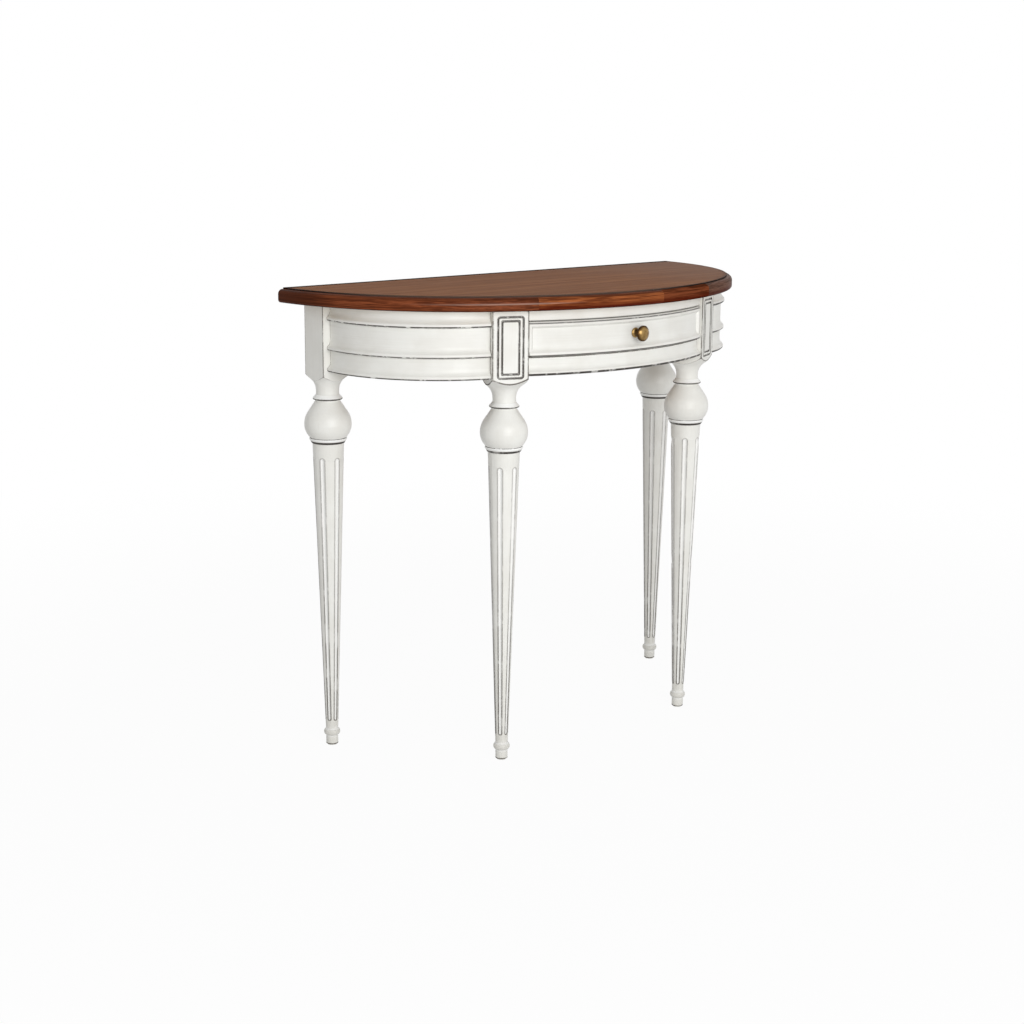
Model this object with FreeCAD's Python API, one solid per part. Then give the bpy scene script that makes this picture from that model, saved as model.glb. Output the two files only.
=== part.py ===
import FreeCAD, Part
import math
import os

from FreeCAD import Vector

# Demilune console table with one drawer. Millimetres, +Z up, front towards -Y.
# Origin: on the floor, under the middle of the table top's outline.
# Plan angles are measured from the front (-Y) towards +X.

# Overall size
table_height = 780.0
top_width = 910.0
top_depth = 390.0

# Fits
glue_gap = 0.1
running_gap = 0.3
hole_end_gap = 1.0
overrun = 5.0

# Plan curve of the top: a front arc and two side arcs that meet at this angle
bow_turn_angle = 30.0
half_turn_angle = 180.0

# Table top: panel, shaped edging round the bow, lipping on the back edge
top_thickness = 24.0
edge_width = 10.0
edge_step = 2.2
edge_ovolo_radius = 8.3
edge_lower_round = 5.0
edge_seam_angles = (-90.0, -22.0, 4.0, 19.0, 55.0, 90.0)
tongue_length = 5.0
tongue_thickness = 6.0
lipping_width = 12.0

# Aprons: plan curves of their lips, and the flared bands
front_overhang = 22.0
front_arc_share = 0.868
side_bulge = 54.0
side_sweep_angle = 120.0
side_front_setback = 5.0
side_back_setback = 8.0
apron_thickness = 22.0
band_relief = 6.5
band_cove_radius = 12.0
band_nose_radius = 4.0
band_drops = (27.0, 75.0, 110.0)

# Front rails and back rail
top_rail_height = 18.0
top_rail_relief = 3.0
front_rail_thickness = 25.0
bottom_rail_height = 29.5
bottom_rail_drop = 106.5
back_rail_thickness = 20.0
back_rail_setback = 4.0

# Legs: places of the turned axes
front_leg_share = 0.47
front_leg_setback = 87.0
back_leg_side_inset = 67.0
back_leg_inset = 39.5

# Posts at the top of the legs
front_post_angle = 25.0
front_post_width = 60.0
front_post_depth = 70.0
back_post_width = 52.0
back_post_depth = 50.0
shoulder_drop = 119.0
shoulder_angle = 37.0
shoulder_cove_radius = 26.0

# Double groove on the front posts
panel_groove_width = 1.8
panel_groove_depth = 1.6
outer_panel_width = 43.5
outer_panel_drop = 10.0
outer_panel_height = 99.0
outer_panel_corner = 4.0
inner_panel_width = 30.0
inner_panel_margin = 6.3

# Turned part of the legs: heights above the floor up to the foot ring, then drops below the top
glide_height = 2.0
tip_radius = 10.2
tip_top = 17.0
foot_ring_radius = 13.8
foot_ring_height = 11.5
column_foot_radius = 10.4
column_head_radius = 26.0
ring_drop = 231.0
ring_neck_radius = 27.5
ring_radius = 31.0
ring_height = 8.5
ring_lip = 1.8
bulb_base_radius = 29.6
bulb_radius = 39.0
bulb_belly_drop = 200.0
bulb_head_radius = 20.6
bulb_head_drop = 161.5
bulb_taper_angle = 34.0
collar_drop = 159.0
collar_radius = 24.6
collar_lip = 1.8
lip_turn_angle = 60.0
collar_height = 8.8
neck_radius = 19.0

# Flutes of the column
flute_count = 6
right_flute_angle = 18.0
flute_foot_gap = 16.0
flute_head_gap = 24.0
flute_head_radius = 4.3
flute_foot_radius = 2.6
flute_head_stand = 1.2
flute_foot_stand = 0.6

# Glides
glide_radius = 8.0
glide_pin_radius = 1.5
glide_pin_length = 12.0

# Drawer
drawer_gap = 1.5
drawer_front_thickness = 23.0
drawer_border_relief = 2.0
drawer_border_width = 7.5
drawer_border_height = 11.0
drawer_bevel_angle = 35.0
drawer_bead_height = 2.4
drawer_bead_groove = 1.2
drawer_side_thickness = 12.0
drawer_side_height = 50.0
drawer_side_housing = 8.0
drawer_back_thickness = 12.0
drawer_back_inset = 12.0
drawer_back_housing = 5.0
drawer_bottom_thickness = 5.0
drawer_bottom_rise = 5.5
drawer_bottom_housing = 6.0
drawer_post_gap = 6.0

# Drawer carriage
runner_inner_lap = 5.0
runner_width = 32.0
runner_height = 18.0
runner_rise = 2.2
runner_tenon_length = 9.0
runner_tenon_width = 14.0
runner_tenon_height = 9.0
guide_width = 12.0
guide_height = 18.0
guide_gap = 0.6
kicker_width = 20.0
kicker_gap = 1.0
stop_length = 14.0
stop_height = 12.0

# Knob and its screw
knob_drop = 47.0
knob_projection = 24.5
knob_base_radius = 8.2
knob_base_thickness = 2.0
knob_neck_radius = 4.6
knob_neck_place_share = 0.36
knob_head_radius = 13.0
knob_rim_thickness = 2.6
knob_crown_height = 5.2
knob_screw_radius = 2.0
knob_screw_grip = 9.0
knob_screw_head_radius = 4.0
knob_screw_head_height = 2.6
knob_screw_hole_gap = 0.25

# Blocks that hold the top, and glue blocks in the back corners
block_length = 60.0
block_depth = 26.0
side_block_angle = 54.0
back_block_gap = 38.0
corner_block_side = 24.0
corner_block_height = 80.0

# Dowels and screws
dowel_radius = 4.0
dowel_in_post = 16.0
dowel_in_rail = 12.0
dowel_margin = 26.0
wood_screw_radius = 2.0
wood_screw_head_radius = 4.0
wood_screw_head_height = 2.4
top_screw_bite = 14.0
bottom_screw_bite = 16.0
bottom_screw_spacing = 100.0

# Levels and lines that follow from these
underside = table_height - top_thickness
back_y = top_depth / 2
top_half = top_width / 2
front_line = front_overhang - back_y
front_leg_x = top_half * front_leg_share
front_leg_y = front_line + front_leg_setback
back_leg_x = top_half - back_leg_side_inset
back_leg_y = back_y - back_leg_inset
z_axis = Vector(0, 0, 1)
origin = Vector(0, 0, 0)


class Bow:
    """Three-centred plan curve whose ends meet the back line square."""

    def __init__(self, half_width, depth):
        turn = math.radians(bow_turn_angle)
        side_shift = (half_width - depth) / (1 + 1 / math.tan(turn) - 1 / math.sin(turn))
        setback = side_shift / math.tan(turn)
        self.front_radius = depth + setback
        self.side_radius = half_width - side_shift
        self.front_centre = Vector(0, back_y + setback, 0)
        self.right_centre = Vector(side_shift, back_y, 0)
        self.left_centre = Vector(-side_shift, back_y, 0)

    def arcs(self):
        """Each arc's centre, radius, first angle and last angle, from left to right."""
        return (
            (self.left_centre, self.side_radius, -90.0, -bow_turn_angle),
            (self.front_centre, self.front_radius, -bow_turn_angle, bow_turn_angle),
            (self.right_centre, self.side_radius, bow_turn_angle, 90.0),
        )

    def face(self, inset):
        """Plan face inside the curve, drawn in by the inset."""
        edges = []
        for centre, radius, first, last in self.arcs():
            points = [centre + ray(a) * (radius - inset) for a in (first, (first + last) / 2, last)]
            edges.append(Part.Arc(*points).toShape())
        edges.append(Part.makeLine(edges[-1].lastVertex().Point, edges[0].firstVertex().Point))
        return Part.Face(Part.Wire(edges))


def ray(angle):
    """Unit vector in plan at an angle from the front."""
    a = math.radians(angle)
    return Vector(math.sin(a), -math.cos(a), 0)


def arc(centre, radius, first, last):
    """Middle and end of an arc in a profile, angles from the radial direction upwards."""
    def at(angle):
        a = math.radians(angle)
        return (centre[0] + radius * math.cos(a), centre[1] + radius * math.sin(a))
    return (at((first + last) / 2), at(last))


def profile(start, *moves):
    """Closed wire of radii and heights. A point is a line to it, a pair is an arc through and to."""
    first = here = Vector(start[0], 0, start[1])
    edges = []
    for move in moves:
        if isinstance(move[0], tuple):
            middle, end = [Vector(p[0], 0, p[1]) for p in move]
            edges.append(Part.Arc(here, middle, end).toShape())
        else:
            end = Vector(move[0], 0, move[1])
            edges.append(Part.makeLine(here, end))
        here = end
    edges.append(Part.makeLine(here, first))
    return Part.Wire(edges)


def rectangle(inner, outer, low, high):
    """Closed rectangular profile between two radii and two heights."""
    return profile((inner, low), (outer, low), (outer, high), (inner, high))


def turned(outline):
    """Solid of revolution about the vertical axis."""
    return Part.Face(outline).revolve(origin, z_axis, 360)


def sector(outline, centre, first, last):
    """A profile swept round a vertical axis between two plan angles."""
    face = Part.Face(outline)
    face.rotate(origin, z_axis, first - 90)
    solid = face.revolve(origin, z_axis, last - first)
    solid.translate(centre)
    return solid


def box(x0, x1, y0, y1, z0, z1):
    """Block between two corners."""
    return Part.makeBox(x1 - x0, y1 - y0, z1 - z0, Vector(x0, y0, z0))


def cylinder(centre, radius, low, high):
    """Upright cylinder about a plan point."""
    return Part.makeCylinder(radius, high - low, Vector(centre.x, centre.y, low))


def rod(start, direction, length, radius):
    """Round rod from a point along a direction."""
    return Part.makeCylinder(radius, length, start, direction)


def mirrored(shape):
    """The same piece on the other side of the table."""
    return shape.mirror(origin, Vector(1, 0, 0))


def dowel_and_hole(joint, direction):
    """Dowel across a joint face, from the post along the direction into the rail, with its hole."""
    length = dowel_in_post + dowel_in_rail
    start = joint - direction * dowel_in_post
    hole_start = start - direction * hole_end_gap
    dowel = rod(start, direction, length, dowel_radius)
    hole = rod(hole_start, direction, length + 2 * hole_end_gap, dowel_radius + glue_gap)
    return dowel, hole


def wood_screw(seat, direction, length, clearance):
    """Countersunk wood screw with its head flush at the seat, or its hole when given a clearance."""
    head = Part.makeCone(wood_screw_head_radius + clearance, wood_screw_radius + clearance,
                         wood_screw_head_height, seat, direction)
    shank = rod(seat, direction, length + clearance, wood_screw_radius + clearance)
    return head.fuse(shank).removeSplitter()


top_bow = Bow(top_half, top_depth)

# Front arc of the rails and the drawer
front_arc_radius = top_bow.front_radius * front_arc_share
front_centre = Vector(0, front_line + front_arc_radius, 0)

# Right front post: outward normal and outer tangent in plan
front_leg = Vector(front_leg_x, front_leg_y, 0)
back_leg = Vector(back_leg_x, back_leg_y, 0)
post_normal = ray(front_post_angle)
post_tangent = ray(front_post_angle + 90)

# Side arc of the right apron, from post to post
side_back = back_leg + Vector(back_post_width / 2 - side_back_setback, -back_post_depth / 2, 0)
side_front = (front_leg + post_tangent * (front_post_width / 2)
              + post_normal * (front_post_depth / 2 - side_front_setback))
side_chord = side_front - side_back
side_out = Vector(-side_chord.y, side_chord.x, 0).normalize()
side_radius = ((side_chord.Length / 2) ** 2 + side_bulge ** 2) / (2 * side_bulge)
side_centre = (side_front + side_back) * (1 / 2) + side_out * (side_bulge - side_radius)


def turned_to_front_post(block):
    """A block drawn about the origin, turned and moved to the right front leg's axis."""
    block.rotate(origin, z_axis, front_post_angle)
    block.translate(front_leg)
    return block


def front_post_block(grow):
    """Upright block of the right front post, grown on its sides."""
    half_width = front_post_width / 2 + grow
    half_depth = front_post_depth / 2 + grow
    return turned_to_front_post(box(-half_width, half_width, -half_depth, half_depth, 0, underside))


def beside_front_post(near, far):
    """Large block between two upright planes parallel to the right front post's sides."""
    return turned_to_front_post(box(near, far, -top_depth, top_depth, 0, table_height))


def back_post_block():
    """Upright block of the right back post."""
    half_width = back_post_width / 2
    half_depth = back_post_depth / 2
    block = box(-half_width, half_width, -half_depth, half_depth, 0, underside)
    block.translate(back_leg)
    return block


# Table top

def edge_profile(radius):
    """Section of the edging: lower round, flat, ovolo and a ledge under the panel's arris."""
    high = table_height - edge_step
    low = underside
    inner = radius - edge_width
    return profile(
        (inner, low),
        (radius - edge_lower_round, low),
        arc((radius - edge_lower_round, low + edge_lower_round), edge_lower_round, -90, 0),
        (radius, high - edge_ovolo_radius),
        arc((radius - edge_ovolo_radius, high - edge_ovolo_radius), edge_ovolo_radius, 0, 90),
        (inner, high),
    )


def top_tongue(clearance):
    """Tongue round the panel's bow, which stops at the lipping, with room for its groove."""
    half = tongue_thickness / 2 + clearance
    plate = top_bow.face(edge_width - tongue_length - clearance)
    plate.translate(Vector(0, 0, underside + top_thickness / 2 - half))
    plate = plate.extrude(Vector(0, 0, 2 * half))
    back = box(-top_half, top_half, back_y - lipping_width + clearance, back_y + overrun,
               underside, table_height)
    return plate.cut(back)


def edge_length(first, last):
    """One length of edging between two seams, which may run over more than one arc."""
    pieces = []
    for centre, radius, arc_first, arc_last in top_bow.arcs():
        start = max(first, arc_first)
        end = min(last, arc_last)
        if end > start:
            pieces.append(sector(edge_profile(radius), centre, start, end))
    whole = pieces[0]
    for piece in pieces[1:]:
        whole = whole.fuse(piece)
    return whole.cut(top_tongue(glue_gap))


def top_panel():
    """Half-round panel with a tongue round the bow, cut back for the lipping."""
    panel = top_bow.face(edge_width)
    panel.translate(Vector(0, 0, underside))
    panel = panel.extrude(Vector(0, 0, top_thickness))
    back = box(-top_half, top_half, back_y - lipping_width, back_y + overrun,
               underside - overrun, table_height + overrun)
    return panel.cut(back).fuse(top_tongue(0))


def top_lipping():
    """Strip along the straight back edge, between the ends of the edging."""
    strip = top_bow.face(edge_width)
    strip.translate(Vector(0, 0, underside))
    strip = strip.extrude(Vector(0, 0, top_thickness))
    keep = box(-top_half, top_half, back_y - lipping_width, back_y + overrun,
               underside - overrun, table_height + overrun)
    return strip.common(keep)


# Aprons and rails

def band_moves(face_radius, lip):
    """Cove and nose of one flared band, from its flat down to the lip's underside."""
    reach = band_cove_radius + band_nose_radius
    turn = math.degrees(math.acos(1 - band_relief / reach))
    flat_radius = face_radius - band_relief
    cove_height = lip + band_nose_radius + reach * math.sin(math.radians(turn))
    return (
        (flat_radius, cove_height),
        arc((flat_radius + band_cove_radius, cove_height), band_cove_radius,
            half_turn_angle, half_turn_angle + turn),
        arc((face_radius - band_nose_radius, lip + band_nose_radius), band_nose_radius, turn, -90),
        (flat_radius, lip),
    )


def banded_profile(radius, thickness, high, drops):
    """Section of an apron with a flared band down to each drop below the top."""
    moves = []
    for drop in drops:
        moves.extend(band_moves(radius, underside - drop))
    low = underside - drops[-1]
    inner = radius - thickness
    return profile((inner, high), (radius - band_relief, high), *moves, (inner, low))


def right_apron_solid():
    """Right side apron between the planes of the two posts."""
    section = banded_profile(side_radius, apron_thickness, underside, band_drops)
    apron = sector(section, side_centre, 0, side_sweep_angle)
    behind = box(0, top_half, side_back.y, top_depth, 0, table_height)
    inside = beside_front_post(-top_width, front_post_width / 2)
    return apron.cut([behind, inside])


def between_front_posts(section):
    """A section swept along the front arc and trimmed to the front posts' inner sides."""
    piece = sector(section, front_centre, -bow_turn_angle, bow_turn_angle)
    right = beside_front_post(-front_post_width / 2, top_width)
    return piece.cut([right, mirrored(right)])


def top_rail_solid():
    """Plain rail over the drawer."""
    radius = front_arc_radius
    section = rectangle(radius - front_rail_thickness, radius - top_rail_relief,
                        underside - top_rail_height, underside)
    return between_front_posts(section)


bottom_rail_top = underside - bottom_rail_drop + bottom_rail_height


def bottom_rail_solid():
    """Rail under the drawer, with a flared lower edge."""
    section = banded_profile(front_arc_radius, front_rail_thickness, bottom_rail_top,
                             (bottom_rail_drop,))
    return between_front_posts(section)


back_rail_back = back_leg_y + back_post_depth / 2 - back_rail_setback
back_rail_front = back_rail_back - back_rail_thickness
rail_end_x = back_leg_x - back_post_width / 2


def back_rail_solid():
    """Straight rail between the back posts."""
    return box(-rail_end_x, rail_end_x, back_rail_front, back_rail_back,
               underside - band_drops[-1], underside)


# Dowels of the right half, as pairs of a dowel and its hole

def beside_post_on_arc(centre, radius, offset):
    """Point of an arc on the plane at an offset from the right front post's middle."""
    sideways = (front_leg - centre).dot(post_tangent) + offset
    outwards = math.sqrt(radius ** 2 - sideways ** 2)
    return centre + post_tangent * sideways + post_normal * outwards


def dowel_levels(low, high):
    """Heights of the two dowels in a deep rail."""
    return (low + dowel_margin, high - dowel_margin)


def apron_dowels():
    """Dowels at both ends of the right apron."""
    middle = (band_relief + apron_thickness) / 2
    radius = side_radius - middle
    # The joint lies where the apron's middle line crosses each post's side
    front_joint = beside_post_on_arc(side_centre, radius, front_post_width / 2)
    away = side_centre.y - side_back.y
    back_joint = Vector(side_centre.x + math.sqrt(radius ** 2 - away ** 2), side_back.y, 0)
    pairs = []
    for level in dowel_levels(underside - band_drops[-1], underside):
        lift = Vector(0, 0, level)
        pairs.append(dowel_and_hole(front_joint + lift, post_tangent))
        pairs.append(dowel_and_hole(back_joint + lift, Vector(0, -1, 0)))
    return pairs


def back_rail_dowels():
    """Dowels at the right end of the back rail."""
    middle = (back_rail_front + back_rail_back) / 2
    return [dowel_and_hole(Vector(rail_end_x, middle, level), Vector(-1, 0, 0))
            for level in dowel_levels(underside - band_drops[-1], underside)]


def front_rail_dowels():
    """One dowel at the right end of each front rail."""
    radius = front_arc_radius - (band_relief + front_rail_thickness) / 2
    joint = beside_post_on_arc(front_centre, radius, -front_post_width / 2)
    levels = (underside - top_rail_height / 2, bottom_rail_top - bottom_rail_height / 2)
    return [dowel_and_hole(joint + Vector(0, 0, level), post_tangent * -1) for level in levels]


# Legs

shoulder_level = underside - shoulder_drop
shoulder_slope = math.tan(math.radians(shoulder_angle))
shoulder_corner = shoulder_level - (front_post_depth / 2 - neck_radius) * shoulder_slope
shoulder_run = shoulder_cove_radius * math.tan(math.radians((90 - shoulder_angle) / 2))
neck_top = shoulder_corner - shoulder_run
foot_ring_top = tip_top + foot_ring_height
ring_base = underside - ring_drop
collar_base = underside - collar_drop


def turning():
    """Profile of a leg's turned part, from the tip to the neck."""
    belly = underside - bulb_belly_drop
    head = underside - bulb_head_drop
    base_rise = belly - ring_base - ring_height
    base_draw = bulb_radius - bulb_base_radius
    lower_round = (base_rise ** 2 + base_draw ** 2) / (2 * base_draw)
    lower_angle = -math.degrees(math.asin(base_rise / lower_round))
    taper = math.radians(bulb_taper_angle)
    head_rise = head - belly
    head_draw = bulb_radius - bulb_head_radius
    upper_round = (head_rise * math.tan(taper) - head_draw) / (math.sin(taper) * math.tan(taper)
                                                               - 1 + math.cos(taper))
    collar_bow = collar_radius - collar_lip
    return profile(
        (0, glide_height),
        (tip_radius, glide_height),
        (tip_radius, tip_top),
        ((foot_ring_radius, tip_top + foot_ring_height / 2), (column_foot_radius, foot_ring_top)),
        (column_head_radius, ring_base),
        (ring_neck_radius, ring_base),
        (ring_radius - ring_lip / 2, ring_base + ring_height - 2 * ring_lip),
        arc((ring_radius - ring_lip, ring_base + ring_height - ring_lip), ring_lip, -lip_turn_angle, 90),
        (bulb_base_radius, ring_base + ring_height),
        arc((bulb_radius - lower_round, belly), lower_round, lower_angle, 0),
        arc((bulb_radius - upper_round, belly), upper_round, 0, bulb_taper_angle),
        (bulb_head_radius, head),
        (bulb_head_radius, collar_base),
        (collar_bow, collar_base),
        arc((collar_bow, collar_base + collar_lip), collar_lip, -90, lip_turn_angle),
        (neck_radius, collar_base + collar_height),
        (neck_radius, neck_top),
        (0, neck_top),
    )


def shoulder(reach):
    """Turned shoulder: a cove and a cone that run out past the corners of the post."""
    cove = arc((neck_radius + shoulder_cove_radius, neck_top), shoulder_cove_radius,
               half_turn_angle, half_turn_angle / 2 + shoulder_angle)
    level = shoulder_corner + (reach - neck_radius) * shoulder_slope
    return turned(profile((0, neck_top), (neck_radius, neck_top), cove, (reach, level),
                          (reach, underside), (0, underside)))


def flute(angle):
    """Tapered round-ended cutter that lies along the column at one angle."""
    rise = ring_base - foot_ring_top
    lean = math.atan2(column_head_radius - column_foot_radius, rise)
    foot = foot_ring_top + flute_foot_gap + flute_foot_radius
    length = (ring_base - flute_head_gap - flute_head_radius - foot) / math.cos(lean)
    outline = profile(
        (0, -flute_foot_radius),
        arc((0, 0), flute_foot_radius, -90, 0),
        (flute_head_radius, length),
        arc((0, length), flute_head_radius, 0, 90),
    )
    cutter = turned(outline)
    spread = math.atan2(flute_head_stand - flute_foot_stand, length)
    cutter.rotate(origin, Vector(0, 1, 0), math.degrees(lean + spread))
    column = column_foot_radius + (foot - foot_ring_top) * math.tan(lean)
    cutter.translate(Vector(column + flute_foot_stand, 0, foot))
    cutter.rotate(origin, z_axis, angle - 90)
    return cutter


def leg(post, axis, facing, holes):
    """Whole leg: turning, shouldered post, flutes between the lands, and holes."""
    reach = math.hypot(front_post_width, front_post_depth) / 2 + overrun
    step = 360 / flute_count
    cuts = [flute(facing + step * (i + 1 / 2)) for i in range(flute_count)]
    pin_top = glide_height + glide_pin_length + hole_end_gap
    cuts.append(cylinder(origin, glide_pin_radius + glue_gap, 0, pin_top))
    lower = turned(turning()).cut(cuts)
    upper = shoulder(reach)
    for piece in (lower, upper):
        piece.translate(axis)
    return upper.common(post).fuse(lower).removeSplitter().cut(holes)


def panel_grooves():
    """Two rectangular grooves in the right front post's face, the outer one with round corners."""
    face_y = -front_post_depth / 2
    high = underside - outer_panel_drop

    def plate(width, low, top, corner):
        block = box(-width / 2, width / 2, face_y - overrun, face_y + panel_groove_depth, low, top)
        if corner > 0:
            upright = [e for e in block.Edges if abs(e.tangentAt(e.FirstParameter).y) > 1 / 2]
            block = block.makeFillet(corner, upright)
        return block

    def ring(width, low, top, corner):
        inside = plate(width - 2 * panel_groove_width, low + panel_groove_width,
                       top - panel_groove_width, max(corner - panel_groove_width, 0))
        return plate(width, low, top, corner).cut(inside)

    outer = ring(outer_panel_width, high - outer_panel_height, high, outer_panel_corner)
    inner = ring(inner_panel_width, high - outer_panel_height + inner_panel_margin,
                 high - inner_panel_margin, 0)
    return [turned_to_front_post(outer), turned_to_front_post(inner)]


def glide():
    """Round glide with a pin, under one foot."""
    disc = cylinder(origin, glide_radius, 0, glide_height)
    pin = cylinder(origin, glide_pin_radius, 0, glide_height + glide_pin_length)
    return disc.fuse(pin).removeSplitter()


# Drawer

drawer_low = bottom_rail_top + drawer_gap
drawer_high = underside - top_rail_height - drawer_gap
front_inner = front_arc_radius - drawer_front_thickness
post_corner = front_leg - post_normal * (front_post_depth / 2) - post_tangent * (front_post_width / 2)
drawer_half = post_corner.x - drawer_post_gap
side_inner = drawer_half - drawer_side_thickness
runner_top = bottom_rail_top + runner_rise
side_low = runner_top + running_gap
side_high = side_low + drawer_side_height
drawer_rear = back_rail_front - stop_length - running_gap
bottom_low = side_low + drawer_bottom_rise
bottom_high = bottom_low + drawer_bottom_thickness
knob_level = underside - knob_drop


def within_front(block, radius):
    """A block trimmed to the inside of a circle about the front arc's centre."""
    return block.common(cylinder(front_centre, radius, 0, table_height))


def drawer_side_solid():
    """Right side, housed in the front, with grooves for the bottom and the back."""
    side = box(side_inner, drawer_half, front_line, drawer_rear, side_low, side_high)
    side = within_front(side, front_inner + drawer_side_housing)
    groove = box(side_inner - overrun, side_inner + drawer_bottom_housing + glue_gap, front_line,
                 drawer_rear + overrun, bottom_low - glue_gap, bottom_high + glue_gap)
    housing = box(side_inner - overrun, side_inner + drawer_back_housing + glue_gap,
                  drawer_rear - drawer_back_inset - drawer_back_thickness - glue_gap,
                  drawer_rear - drawer_back_inset + glue_gap, bottom_high, side_high + overrun)
    return side.cut([groove, housing])


def drawer_side_housing_cut():
    """Housing in the drawer front for the right side."""
    block = box(side_inner - glue_gap, drawer_half + glue_gap, front_line, back_y,
                side_low - glue_gap, side_high + glue_gap)
    return within_front(block, front_inner + drawer_side_housing + glue_gap)


def drawer_back_solid():
    """Back, housed in the sides and standing on the bottom."""
    half = side_inner + drawer_back_housing
    rear = drawer_rear - drawer_back_inset
    return box(-half, half, rear - drawer_back_thickness, rear, bottom_high, side_high)


def drawer_bottom_solid():
    """Bottom, in grooves of the sides and the front, screwed up into the back."""
    half = side_inner + drawer_bottom_housing
    block = box(-half, half, front_line, drawer_rear - drawer_back_inset, bottom_low, bottom_high)
    return within_front(block, front_inner + drawer_bottom_housing)


def drawer_front_solid():
    """Bowed front: flared lower lip, raised bevelled border, bead line, housings and screw hole."""
    body = banded_profile(front_arc_radius, drawer_front_thickness, drawer_high, (underside - drawer_low,))
    spread = bow_turn_angle
    body = sector(body, front_centre, -spread, spread)
    border_face = front_arc_radius - drawer_border_relief
    field_face = front_arc_radius - band_relief
    border = sector(rectangle(front_inner, border_face, drawer_low, drawer_high),
                    front_centre, -spread, spread)
    # The field widens outwards, so that the border's inner edges are bevelled
    field_high = drawer_high - drawer_border_height
    outer = border_face + overrun
    bevel_rise = (outer - field_face) * math.tan(math.radians(drawer_bevel_angle))
    field = profile((field_face, drawer_low - overrun), (outer, drawer_low - overrun),
                    (outer, field_high + bevel_rise), (field_face, field_high))
    field = sector(field, front_centre, -spread, spread)
    field_end = -front_post_width / 2 - drawer_gap - drawer_border_width
    margin = beside_front_post(field_end, top_width)
    margin.rotate(beside_post_on_arc(front_centre, field_face, field_end), z_axis, drawer_bevel_angle)
    field = field.cut([margin, mirrored(margin)])
    bead = rectangle(border_face - drawer_bead_groove, border_face + overrun,
                     drawer_high - drawer_bead_height - drawer_bead_groove,
                     drawer_high - drawer_bead_height)
    bead = sector(bead, front_centre, -spread, spread)
    end = beside_front_post(-front_post_width / 2 - drawer_gap, top_width)
    housing = drawer_side_housing_cut()
    groove = within_front(box(-side_inner - glue_gap, side_inner + glue_gap, front_line, back_y,
                              bottom_low - glue_gap, bottom_high + glue_gap),
                          front_inner + drawer_bottom_housing + glue_gap)
    screw_hole = rod(Vector(0, back_y, knob_level), Vector(0, -1, 0), top_depth,
                     knob_screw_radius + knob_screw_hole_gap)
    front = body.fuse(border.cut(field)).removeSplitter()
    return front.cut([bead, end, mirrored(end), housing, mirrored(housing), groove, screw_hole])


knob_seat = front_line + band_relief


def knob():
    """Turned knob: flared base, narrow neck, rimmed mushroom head, blind hole for the screw."""
    rim_back = knob_projection - knob_crown_height - knob_rim_thickness
    rim_front = rim_back + knob_rim_thickness
    neck = knob_base_thickness + (rim_back - knob_base_thickness) * knob_neck_place_share
    crown_round = (knob_head_radius ** 2 + knob_crown_height ** 2) / (2 * knob_crown_height)
    crown_angle = math.degrees(math.asin((crown_round - knob_crown_height) / crown_round))
    flare = (knob_neck_radius + knob_head_radius) / 2
    outline = profile(
        (0, 0),
        (knob_base_radius, 0),
        (knob_base_radius, knob_base_thickness),
        ((knob_neck_radius, neck), (flare, rim_back - knob_rim_thickness / 2)),
        (knob_head_radius, rim_back),
        (knob_head_radius, rim_front),
        arc((0, knob_projection - crown_round), crown_round, crown_angle, 90),
    )
    body = turned(outline)
    hole = cylinder(origin, knob_screw_radius + glue_gap, -overrun, knob_screw_grip + hole_end_gap)
    body = body.cut(hole)
    body.rotate(origin, Vector(1, 0, 0), 90)
    body.translate(Vector(0, knob_seat, knob_level))
    return body


def knob_screw():
    """Screw through the drawer front into the knob, with a round head inside the drawer."""
    sag = front_inner - math.sqrt(front_inner ** 2 - knob_screw_head_radius ** 2)
    head_face = front_centre.y - front_inner + sag
    head = rod(Vector(0, head_face + knob_screw_head_height, knob_level), Vector(0, -1, 0),
               knob_screw_head_height, knob_screw_head_radius)
    rounded = [e for e in head.Edges if e.CenterOfMass.y > head_face + knob_screw_head_height / 2
               and isinstance(e.Curve, Part.Circle)]
    head = head.makeFillet(knob_screw_head_height / 2, rounded)
    shank = rod(Vector(0, head_face, knob_level), Vector(0, -1, 0),
                head_face - knob_seat + knob_screw_grip, knob_screw_radius)
    return head.fuse(shank).removeSplitter()


def bottom_screws(clearance):
    """Screws up through the drawer bottom into the back."""
    y = drawer_rear - drawer_back_inset - drawer_back_thickness / 2
    return [wood_screw(Vector(x, y, bottom_low), z_axis, bottom_screw_bite, clearance)
            for x in (-bottom_screw_spacing, 0, bottom_screw_spacing)]


# Drawer carriage

rail_inner = front_arc_radius - front_rail_thickness
runner_inner = side_inner - runner_inner_lap
runner_outer = runner_inner + runner_width


def runner_tenons(clearance):
    """Stub tenons at the two ends of the right runner, or their mortises with a clearance."""
    middle = (runner_inner + drawer_half) / 2
    low = runner_top - runner_height + (runner_height - runner_tenon_height) / 2 - clearance
    x0 = middle - runner_tenon_width / 2 - clearance
    x1 = middle + runner_tenon_width / 2 + clearance
    high = low + runner_tenon_height + 2 * clearance
    reach = runner_tenon_length + clearance
    rear = box(x0, x1, back_rail_front, back_rail_front + reach, low, high)
    front = within_front(box(x0, x1, front_line, back_rail_front, low, high), rail_inner + reach)
    return rear, front


def runner():
    """Right runner under the drawer side, notched round the front post."""
    board = box(runner_inner, runner_outer, front_line, back_rail_front,
                runner_top - runner_height, runner_top)
    board = within_front(board, rail_inner)
    notch = front_post_block(running_gap)
    rear, front = runner_tenons(0)
    tenon = front.cut(notch)
    return board.cut(notch).fuse([rear, tenon]).removeSplitter()


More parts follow.
